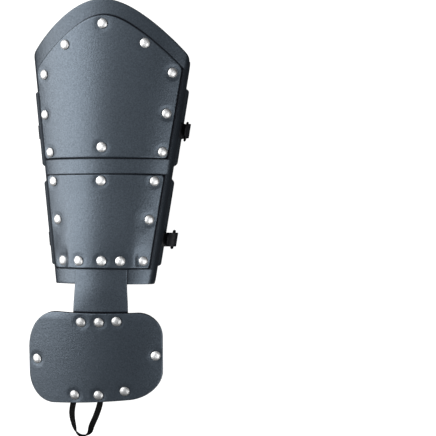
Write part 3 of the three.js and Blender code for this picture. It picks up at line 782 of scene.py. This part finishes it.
def billet_strap(name):
    strap = STRAPS[name]
    place, _ = strap_place(strap, billet_stops(strap), True)
    a = np.concatenate([steps(110, 0, 0.9), steps(24, 0.9, 1)[1:]])
    obj = panel(f"{name}_billet_strap", a, steps(10, 1, 0), place, STRAP_THICK, EDGES["strap"])
    slot = prong_shape(strap, PRONG["radius"] + PRONG["clearance"])
    punch(obj, [*(strap_hole(strap, past) for past in STRAP_HOLES), slot])
    return obj


def buckle_strap(name):
    strap = STRAPS[name]
    stops = []
    for distance in FLARE_STOPS:
        station = station_past_edge(1, strap["at"], distance)
        stops.append(stop_at(strap, distance, wing_outer(1, strap["at"], station) + GAP))
    place, _ = strap_place(strap, stops, False)
    a, b = steps(24), steps(10)
    return panel(f"{name}_buckle_strap", a, b, place, STRAP_THICK, EDGES["strap"])


def buckle_frame(strap):
    """The buckle's own frame, at the foot of its strap."""
    height = BUCKLE["strap_height"]
    return wing_frame(strap, BUCKLE["at"], strap["slack"] + height) @ Matrix.Translation((0, 0, -height))


def buckle(name):
    bar, thick, corner = BUCKLE["bar"], BUCKLE["thick"], BUCKLE["corner"]
    x = (BUCKLE["length"] - bar) / 2 - corner
    y = (BUCKLE["width"] - bar) / 2 - corner
    z = STRAP_THICK + 2 * GAP + thick / 2
    path = []
    for right, up, start in ((1, -1, -90), (1, 1, 0), (-1, 1, 90), (-1, -1, 180)):
        for turn in np.radians(steps(6, start, start + 90)):
            path.append((right * x + corner * math.cos(turn), up * y + corner * math.sin(turn), z))
    points, faces = tube(path, (bar / 2, thick / 2), 14, True)
    matrix = buckle_frame(STRAPS[name])
    return dressed(f"{name}_buckle", [matrix @ p for p in points], faces)


def prong_shape(strap, radius):
    """Points and faces of a prong: up from the heel bar, through the strap, onto the front bar."""
    height = STRAP_THICK + 2 * GAP + BUCKLE["thick"] / 2
    inside = BUCKLE["length"] / 2 - BUCKLE["bar"]
    rest = STRAP_THICK + 3 * GAP + BUCKLE["thick"] + PRONG["radius"]
    knots = np.array([0, 0.33, 0.7, 1])
    route = np.array([
        (-inside + GAP + PRONG["radius"], 0, height),
        (-inside / 2, 0, height + PRONG["rise"]),
        (inside / 2, 0, rest - PRONG["dip"]),
        (inside + BUCKLE["bar"] - PRONG["short"], 0, rest),
    ])
    points, faces = tube(through(knots, route, steps(16)), (radius, radius), 12, False)
    matrix = buckle_frame(strap)
    return [matrix @ p for p in points], faces


def prong(name):
    return dressed(f"{name}_prong", *prong_shape(STRAPS[name], PRONG["radius"]))


def stitches(name, strap):
    """Two rows of thread along a strap's end and one across it, sewn into the wing."""
    place, length = strap_place(strap, billet_stops(strap), False)

    def spot(along, across, above):
        found, _ = place(np.array([along / length]), np.array([across]), 0.0, -above)
        return Vector(found[0])

    pairs = []
    for across in STITCH["rows"]:
        for along in np.arange(STITCH["first"], STITCH["last"], STITCH["pitch"]):
            pairs.append(((along, across), (along + STITCH["length"], across)))
    for across in np.arange(CROSS_STITCH["first"], CROSS_STITCH["last"], CROSS_STITCH["pitch"]):
        pairs.append(((STITCH["first"], across), (STITCH["first"], across + CROSS_STITCH["length"])))
    points = []
    faces = []
    for start, end in pairs:
        low, far = spot(*start, THREAD["above"]), spot(*end, THREAD["above"])
        lift = (spot(*start, THREAD["outward"]) - low).normalized()
        path = []
        for t in steps(4):
            path.append(mix(low, far, t) + lift * THREAD["rise"] * math.sin(math.pi * t))
        part_points, part_faces = tube(path, (THREAD["radius"], THREAD["radius"]), 6, False)
        first = len(points)
        points += part_points
        faces += [tuple(first + k for k in face) for face in part_faces]
    obj = new_object(name, points, faces)
    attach(obj, "root")
    return obj


# Hand pieces
def wrist_tongue():
    def place(a, b, inset, depth):
        down = mix(TONGUE["end"] - inset, -TONGUE["under_plate"] + inset, b)
        half = mix(TONGUE["half"], TONGUE["half_low"], smooth(down / HAND_PLATE["top"])) - inset
        across = TONGUE["middle"] + mix(-1, 1, a) * half
        return hand_point(down, across, GAP + TONGUE_THICK - depth), stacked(across, -down)

    a, b = steps(40), steps(60)
    return panel("wrist_tongue", a, b, place, TONGUE_THICK, EDGES["leather"])


def hand_plate():
    places = [(across, hand_plate_down(part, across)) for _, part, across, _ in HAND_RIVETS]

    def place(a, b, inset, depth):
        length = HAND_PLATE["bottom"] - HAND_PLATE["top"]
        down = mix(length - inset, inset, b)
        up = length - down
        left, right = 0, 0
        for name, (reach_across, reach_down) in HAND_CORNERS.items():
            distance = (down if name.startswith("top") else up) - inset
            drawn = corner_inset(distance, reach_down - inset, reach_across - inset)
            left = left + (drawn if name.endswith("left") else 0)
            right = right + (drawn if name.endswith("right") else 0)
        start = HAND_PLATE["middle"] - HAND_PLATE["half"] + left + inset
        end = HAND_PLATE["middle"] + HAND_PLATE["half"] - right - inset
        across = mix(start, end, a)
        at = hand_plate_down(down / length, across)
        drawn = relief(across, at, places, depth / HAND_THICK)
        return hand_point(at, across, HAND_INNER + HAND_THICK - depth + drawn), stacked(across, -at)

    a, b = steps(96), crowded(90)
    return panel("hand_plate", a, b, place, HAND_THICK, EDGES["hand"])


def finger_loop():
    """A flat elastic band that turns edge-on at its far end."""
    down, across, twists = np.array(LOOP_ROUTE).T
    middles = hand_point(down, across, HAND_INNER - GAP - WEBBING_THICK / 2)
    outward = hand_point(down, across, 1.0) - hand_point(down, across, 0.0)
    columns = 120
    knots = np.arange(len(LOOP_ROUTE), dtype=float)
    at = steps(columns, 0, knots[-1])
    points = through(knots, middles, at)
    tangents = np.gradient(points, axis=0)
    tangents /= np.linalg.norm(tangents, axis=1)[:, None]
    turns = np.radians(np.interp(at, knots, twists))[:, None]
    flats = np.cross(between(at, knots, outward), tangents)
    flats /= np.linalg.norm(flats, axis=1)[:, None]
    sides = flats * np.cos(turns) + np.cross(tangents, flats) * np.sin(turns)
    normals = np.cross(tangents, sides)
    gone = lengths_along(points)
    part = at / knots[-1]

    def place(a, b, inset, depth):
        width_at = (b - 0.5) * (LOOP_WIDTH - 2 * inset)
        aside = between(a, part, sides) * width_at[..., None]
        raised = between(a, part, normals) * (WEBBING_THICK / 2 - depth)
        return between(a, part, points) + aside + raised, stacked(np.interp(a, part, gone), width_at)

    a, b = steps(columns), steps(6)
    return panel("finger_loop", a, b, place, WEBBING_THICK, EDGES["band"])


def palm_strap():
    """A flat elastic band that sags between the hand plate's two side rivets."""
    left, right = [across for name, _, across, _ in HAND_RIVETS if "side" in name]
    start = left - PALM_STRAP["past_rivet"]
    end = right + PALM_STRAP["past_rivet"]

    def place(a, b, inset, depth):
        across = mix(start + inset, end - inset, a)
        half = PALM_STRAP["width"] / 2 - inset
        down = hand_plate_down(PALM_STRAP["down"], across) - mix(-1, 1, b) * half
        from_flat = np.minimum(a - PALM_STRAP["flat_part"], 1 - PALM_STRAP["flat_part"] - a)
        away = smooth(from_flat / PALM_STRAP["sag_part"]) * PALM_STRAP["sag"]
        return hand_point(down, across, HAND_INNER - GAP - away - depth), stacked(across, down)

    a, b = steps(110), steps(16)
    return panel("palm_strap", a, b, place, WEBBING_THICK, EDGES["band"])


# Rivets
def rivet(spec):
    """A low domed cap, a post and a back cap, turned about the rivet's axis."""
    around = 40
    back = -spec["depth"] - GAP
    lowest = GAP - CAP["sunk"]
    profile = [(POST_RADIUS, back), (POST_RADIUS, lowest)]
    profile += [(CAP["radius"] - inset, lowest + height) for inset, height in CAP_RIM]
    for part in np.sin(np.radians(steps(14, 90, 0))):
        rise = CAP_DOME["height"] * (1 - part ** CAP_DOME["power"])
        profile.append(((CAP["radius"] - CAP_DOME["inset"]) * part, lowest + CAP_DOME["start"] + rise))
    edge = back - BACK_CAP["rim"]
    under = [(POST_RADIUS, back), (BACK_CAP["radius"], back), (BACK_CAP["radius"], edge)]
    for t in np.radians(steps(6, 80, 0)):
        drop = (BACK_CAP["height"] - BACK_CAP["rim"]) * math.cos(t)
        under.append((BACK_CAP["radius"] * math.sin(t), edge - drop))
    points = []
    faces = []
    for outline, flip in ((profile, False), (under, True)):
        start = len(points)
        for radius, height in outline:
            points += [spec["frame"] @ p for p in ring(radius, height, around)]
        for i in range(len(outline) - 1):
            for k in range(around):
                m = (k + 1) % around
                low, high = start + i * around, start + (i + 1) * around
                quad = (low + k, low + m, high + m, high + k)
                faces.append(quad[::-1] if flip else quad)
    return dressed(spec["name"], points, faces)


# Materials
class Nodes:
    """A short way to write the nodes of a material or of the world."""

    def __init__(self, owner):
        owner.use_nodes = True
        self.owner = owner
        self.tree = owner.node_tree
        self.shader = next(n for n in self.tree.nodes if n.type in ("BSDF_PRINCIPLED", "BACKGROUND"))

    def fill(self, socket, value):
        """Link a socket to a value that is another socket, and else set it."""
        if isinstance(value, bpy.types.NodeSocket):
            self.tree.links.new(value, socket)
        else:
            socket.default_value = value

    def add(self, kind, values=(), **settings):
        node = self.tree.nodes.new(kind)
        for key, value in settings.items():
            setattr(node, key, value)
        for key, value in values:
            self.fill(node.inputs[key], value)
        return node

    def set(self, **values):
        """Fill the shader's own sockets."""
        for key, value in values.items():
            self.fill(self.shader.inputs[key.replace("_", " ")], value)

    def place(self):
        return self.add("ShaderNodeTexCoord").outputs["Object"]

    def flat(self):
        """A sheet's own flat sizes, X and Y."""
        uv = self.add("ShaderNodeUVMap", uv_map="flat").outputs["UV"]
        parts = self.add("ShaderNodeSeparateXYZ", [("Vector", uv)]).outputs
        return parts["X"], parts["Y"]

    def mark(self, name):
        return self.add("ShaderNodeAttribute", attribute_name=name).outputs["Fac"]

    def ramp(self, source, *stops):
        """From one stop to the other; a color may be a single number, for a grey."""
        node = self.add("ShaderNodeValToRGB", [("Fac", source)])
        for element, (position, color) in zip(node.color_ramp.elements, stops):
            element.position = position
            element.color = (*np.broadcast_to(color, 3), 1)
        return node.outputs["Color"]

    def noise(self, vector, scale, detail, roughness=0.5):
        values = [("Vector", vector), ("Scale", scale), ("Detail", detail), ("Roughness", roughness)]
        return self.add("ShaderNodeTexNoise", values).outputs["Fac"]

    def math(self, operation, first, *others):
        """Values joined by an operation, two at a time, or one value changed by it."""
        for other in others or (0.0,):
            first = self.add("ShaderNodeMath", [(0, first), (1, other)], operation=operation).outputs[0]
        return first

    times = partialmethod(math, "MULTIPLY")
    plus = partialmethod(math, "ADD")
    minus = partialmethod(math, "SUBTRACT")
    most = partialmethod(math, "MAXIMUM")
    least = partialmethod(math, "MINIMUM")

    def blend(self, part, start, end):
        return self.add("ShaderNodeMix", [(0, part), (6, start), (7, end)], data_type="RGBA").outputs[2]

    def step(self, value, start, end):
        names = [("Value", value), ("From Min", start), ("From Max", end)]
        return self.add("ShaderNodeMapRange", names, interpolation_type="SMOOTHSTEP").outputs["Result"]

    def bump(self, height, distance, strength, normal=None):
        values = [("Height", height), ("Distance", distance), ("Strength", strength)]
        if normal is not None:
            values.append(("Normal", normal))
        return self.add("ShaderNodeBump", values).outputs["Normal"]


def new_material(name):
    return Nodes(bpy.data.materials.new(name))


def leather_material(name, look, painted_shade_distance=None):
    """Smooth drum-dyed leather: a fine pebble grain, faint wrinkles and a satin sheen.

    The third argument, called with (nodes, across, v), gives the millimetres from the edge of a
    layer on top; near it the leather is painted dark and without sheen, a painted shade.
    """
    nodes = new_material(name)
    tones, roughness, tint, shine = look
    place = nodes.place()
    cloudy = nodes.noise(place, scale=28, detail=4)
    color = nodes.ramp(cloudy, (0.3, tones[0]), (0.7, tones[1]))
    fine = nodes.noise(place, scale=900, detail=3)
    gloss = nodes.ramp(nodes.mark("cut"), (0, shine), (1, CUT_SHINE))
    dressing = nodes.noise(place, scale=760, detail=2)
    gloss = nodes.times(gloss, nodes.ramp(dressing, (0.32, 0.81), (0.68, 1.19)))
    inside = nodes.mark("inside")
    gloss = nodes.times(gloss, nodes.ramp(inside, (0, 1), (1, INSIDE_SHINE)))
    # Painted shade: beside layers on top the leather is painted dark and its sheen is taken away
    if painted_shade_distance is not None:
        across, v = nodes.flat()
        clear = nodes.most(nodes.step(painted_shade_distance(nodes, across, v), *PAINTED_EDGE_SHADE["fade"]), inside)
        # Painted shade in the sheen toward the elbow end
        rim_sheen_shade = nodes.ramp(nodes.step(v, *RIM_SHEEN_SHADE["fade"]), (0, 1), (1, RIM_SHEEN_SHADE["shine"]))
        gloss = nodes.times(nodes.times(gloss, clear), rim_sheen_shade)
        color = nodes.blend(clear, (*PAINTED_EDGE_SHADE["color"], 1), color)
    nodes.set(Base_Color=color, Specular_IOR_Level=gloss, Specular_Tint=(*tint, 1))
    nodes.set(Roughness=nodes.ramp(fine, (0.25, roughness[0]), (0.75, roughness[1])))
    pebbles = [("Vector", place), ("Scale", 620)]
    cells = nodes.add("ShaderNodeTexVoronoi", pebbles, feature="SMOOTH_F1").outputs["Distance"]
    wide = nodes.noise(place, scale=45, detail=3)
    swell = nodes.bump(wide, distance=0.0006, strength=0.12)
    wrinkles = nodes.noise(place, scale=420, detail=3, roughness=0.6)
    mottle = nodes.bump(wrinkles, distance=0.0001, strength=0.12, normal=swell)
    grain = nodes.bump(cells, distance=0.0002, strength=0.36, normal=mottle)
    nodes.set(Normal=nodes.bump(fine, distance=0.0001, strength=0.5, normal=grain))
    return nodes.owner


def base_painted_shade(nodes, across, v):
    """The distance from the two plates' outlines, and from the tongue's below them, for the painted shade.
    """
    slope = (PLATE_HALF_WIDTH[1] - PLATE_HALF_WIDTH[0]) / FOREARM_LENGTH
    half = nodes.plus(nodes.times(v, slope), PLATE_HALF_WIDTH[0])
    # Painted shade on the base's sides: they stay dark farther out than beside the plates
    aside = nodes.times(nodes.minus(nodes.math("ABSOLUTE", across), half), SIDE_PAINTED_SHADE)
    off_middle = nodes.minus(across, PLATE_ARCH["middle"])
    squared = nodes.plus(nodes.times(off_middle, off_middle), PLATE_ARCH["round"] ** 2)
    fall = nodes.times(nodes.math("SQRT", squared), PLATE_ARCH["slope"])
    crest = PLATE_ARCH["apex"] + PLATE_ARCH["slope"] * PLATE_ARCH["round"]
    above = nodes.times(nodes.minus(nodes.plus(v, fall), crest), ARCH_PAINTED_SHADE)
    upper = nodes.most(above, nodes.minus(UPPER_PLATE_START, v), aside)
    before = nodes.minus(LOWER_PLATE[0], v)
    lower = nodes.most(nodes.minus(v, LOWER_PLATE[1]), before, aside)
    off_tongue = nodes.math("ABSOLUTE", nodes.minus(across, TONGUE["middle"]))
    beside = nodes.minus(off_tongue, TONGUE["half"])
    tongue = nodes.most(beside, nodes.minus(v, LOWER_PLATE[0]))
    return nodes.least(upper, lower, tongue)


def tongue_painted_shade(nodes, across, v):
    """The distance from the lower plate's edge and from the hand plate's, for the tongue's painted shade.
    """
    return nodes.least(nodes.minus(LOWER_PLATE[0], v), nodes.plus(v, HAND_PLATE["top"]))


def webbing_material():
    """Woven black elastic: fine ribs along and across the band."""
    nodes = new_material("black_elastic")
    x, y = nodes.flat()
    along = nodes.math("SINE", nodes.times(x, 9.0))
    across = nodes.math("SINE", nodes.times(y, 11.0))
    weave = nodes.times(along, across)
    nodes.set(Base_Color=nodes.ramp(weave, (0.2, 0.001), (0.9, 0.004)))
    nodes.set(Roughness=0.8, Specular_IOR_Level=0.05)
    nodes.set(Normal=nodes.bump(weave, distance=0.00025, strength=0.8))
    return nodes.owner


def nickel_material(name, tone):
    nodes = new_material(name)
    spots = nodes.noise(nodes.place(), scale=900, detail=4)
    nodes.set(Base_Color=nodes.ramp(spots, (0.35, tone), (0.65, tone * 1.25)), Metallic=1.0)
    nodes.set(Roughness=nodes.ramp(spots, (0.3, 0.5), (0.75, 0.58)))
    return nodes.owner


def black_metal_material():
    nodes = new_material("black_lacquer")
    spots = nodes.noise(nodes.place(), scale=700, detail=3)
    nodes.set(Base_Color=nodes.ramp(spots, (0.3, 0.003), (0.7, 0.007)), Specular_IOR_Level=0.12)
    nodes.set(Roughness=nodes.ramp(spots, (0.3, 0.3), (0.7, 0.42)))
    nodes.set(Normal=nodes.bump(spots, distance=0.00005, strength=0.3))
    return nodes.owner


def thread_material():
    nodes = new_material("black_thread")
    values = [("Vector", nodes.place()), ("Scale", 900)]
    twist = nodes.add("ShaderNodeTexWave", values, bands_direction="DIAGONAL").outputs["Fac"]
    nodes.set(Base_Color=nodes.ramp(twist, (0.2, 0.012), (0.8, 0.03)), Roughness=0.7)
    return nodes.owner


def finish_piece(obj, material):
    obj.data.materials.clear()
    obj.data.materials.append(material)


# Surroundings
def camera():
    tilt = Matrix.Rotation(math.radians(CAMERA_TILT), 4, "Y")
    turn = tilt @ Matrix.Rotation(math.radians(CAMERA_ROLL), 4, "Z")
    place = Vector(CAMERA_TARGET) + turn @ Vector((0, 0, CAMERA_DISTANCE)) + Vector(SHIFT)
    data = bpy.data.cameras.new("camera")
    data.lens = CAMERA_LENS
    data.sensor_width = 36
    data.clip_start = 0.05
    obj = add_object("camera", data)
    obj.matrix_world = Matrix.Translation(place * 0.001) @ turn
    bpy.context.scene.camera = obj


def floor():
    """White paper that glows a little, so that it stays white where the lights end."""
    mesh = bpy.data.meshes.new("floor")
    corners = [(-1, -1), (1, -1), (1, 1), (-1, 1)]
    mesh.from_pydata([(x * FLOOR_HALF, y * FLOOR_HALF, 0) for x, y in corners], [], [(0, 1, 2, 3)])
    obj = add_object("floor", mesh)
    nodes = new_material("white_paper")
    nodes.set(Base_Color=(0.14, 0.14, 0.14, 1), Roughness=0.9, Specular_IOR_Level=0.1)
    nodes.set(Emission_Color=(1, 1, 1, 1), Emission_Strength=0.93)
    obj.data.materials.append(nodes.owner)
    obj.visible_glossy = False


def area_light(name, place, size, radiance):
    data = bpy.data.lights.new(name, "AREA")
    data.shape = "RECTANGLE"
    data.size, data.size_y = size
    data.energy = radiance * math.pi * size[0] * size[1]
    obj = add_object(name, data)
    obj.location = place
    obj.rotation_mode = "QUATERNION"
    obj.rotation_quaternion = (Vector(LIGHT_TARGET) - Vector(place)).to_track_quat("-Z", "Y")


def studio():
    """Soft boxes, and a room that is dark below and pale above."""
    for name, (place, size, radiance) in LIGHTS.items():
        area_light(name, place, size, radiance)
    nodes = Nodes(bpy.data.worlds.new("studio"))
    direction = nodes.add("ShaderNodeTexCoord").outputs["Generated"]
    height = nodes.add("ShaderNodeSeparateXYZ", [("Vector", direction)]).outputs["Z"]
    nodes.set(Color=nodes.ramp(height, (0, 0.02), (0.8, (0.44, 0.46, 0.48))))
    bpy.context.scene.world = nodes.owner
    bpy.context.scene.view_settings.view_transform = "Standard"


def dress_forearm():
    finish_piece(base_shell(), leather_material("black_leather_base", LEATHER, base_painted_shade))
    tongue_leather = leather_material("black_leather_tongue", LEATHER, tongue_painted_shade)
    finish_piece(wrist_tongue(), tongue_leather)
    leather = leather_material("black_leather", LEATHER)
    for obj in (upper_plate(), lower_plate(), hand_plate()):
        finish_piece(obj, leather)
    dull = leather_material("black_leather_wing", WING_LEATHER)
    for name in WINGS:
        for side_name in SIDES:
            finish_piece(wing(name, side_name), dull)


def dress_straps():
    strap = leather_material("strap_leather", STRAP_LEATHER)
    black_metal = black_metal_material()
    thread = thread_material()
    for name in STRAPS:
        finish_piece(billet_strap(name), strap)
        finish_piece(buckle_strap(name), strap)
        finish_piece(buckle(name), black_metal)
        finish_piece(prong(name), black_metal)
        finish_piece(stitches(f"{name}_strap_stitches", STRAPS[name]), thread)
    webbing = webbing_material()
    finish_piece(finger_loop(), webbing)
    finish_piece(palm_strap(), webbing)


def dress_rivets():
    """The forearm's rivets and the hand plate's side ones catch the light; the rest get a painted-shade
    copy.
    """
    nickel = nickel_material("satin_nickel", 0.37)
    # A darker copy of the same nickel: painted shade for the rivets that catch less light
    shaded_nickel = nickel_material("shaded_nickel", 0.22)
    for spec in forearm_rivets():
        finish_piece(rivet(spec), nickel)
    for spec in hand_rivets():
        finish_piece(rivet(spec), nickel if "side" in spec["name"] else shaded_nickel)


camera()
floor()
studio()
dress_forearm()
dress_straps()
dress_rivets()
